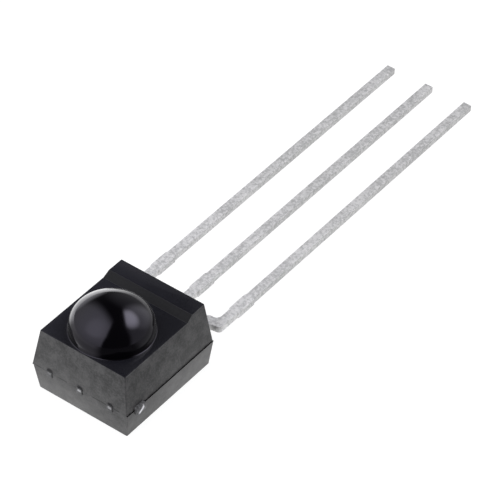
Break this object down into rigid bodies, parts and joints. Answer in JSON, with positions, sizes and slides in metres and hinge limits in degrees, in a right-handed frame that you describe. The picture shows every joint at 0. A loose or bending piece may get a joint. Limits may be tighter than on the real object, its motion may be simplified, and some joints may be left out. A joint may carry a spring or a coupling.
{
  "type": "infrared receiver module",
  "caption": "Black moulded infrared receiver with a domed lens on its face and straight parallel leads out of one end.",
  "frame": {"origin": "on the flat back face, midway across the moulding and midway along its parting line", "axes": "+X across the leads towards the output lead, +Y along the leads towards their tips, +Z out through the lens"},
  "size_m": [0.0064, 0.0305, 0.0057],
  "materials": {
    "black_epoxy": "glossy lens, matt sides",
    "tinned_lead": "matt tin plating",
    "silicon": "polished",
    "silver_adhesive": "matt, silver filled",
    "gold": "bright drawn wire"
  },
  "bodies": {
    "root": {"moulded_body": "black_epoxy", "lead_output": "tinned_lead", "lead_ground": "tinned_lead", "lead_supply": "tinned_lead", "photodiode_chip": "silicon", "receiver_chip": "silicon", "photodiode_adhesive": "silver_adhesive", "receiver_chip_adhesive": "silver_adhesive", "bond_wire_photodiode": "gold", "bond_wire_output": "gold", "bond_wire_ground": "gold", "bond_wire_supply": "gold"}
  },
  "joints": []
}
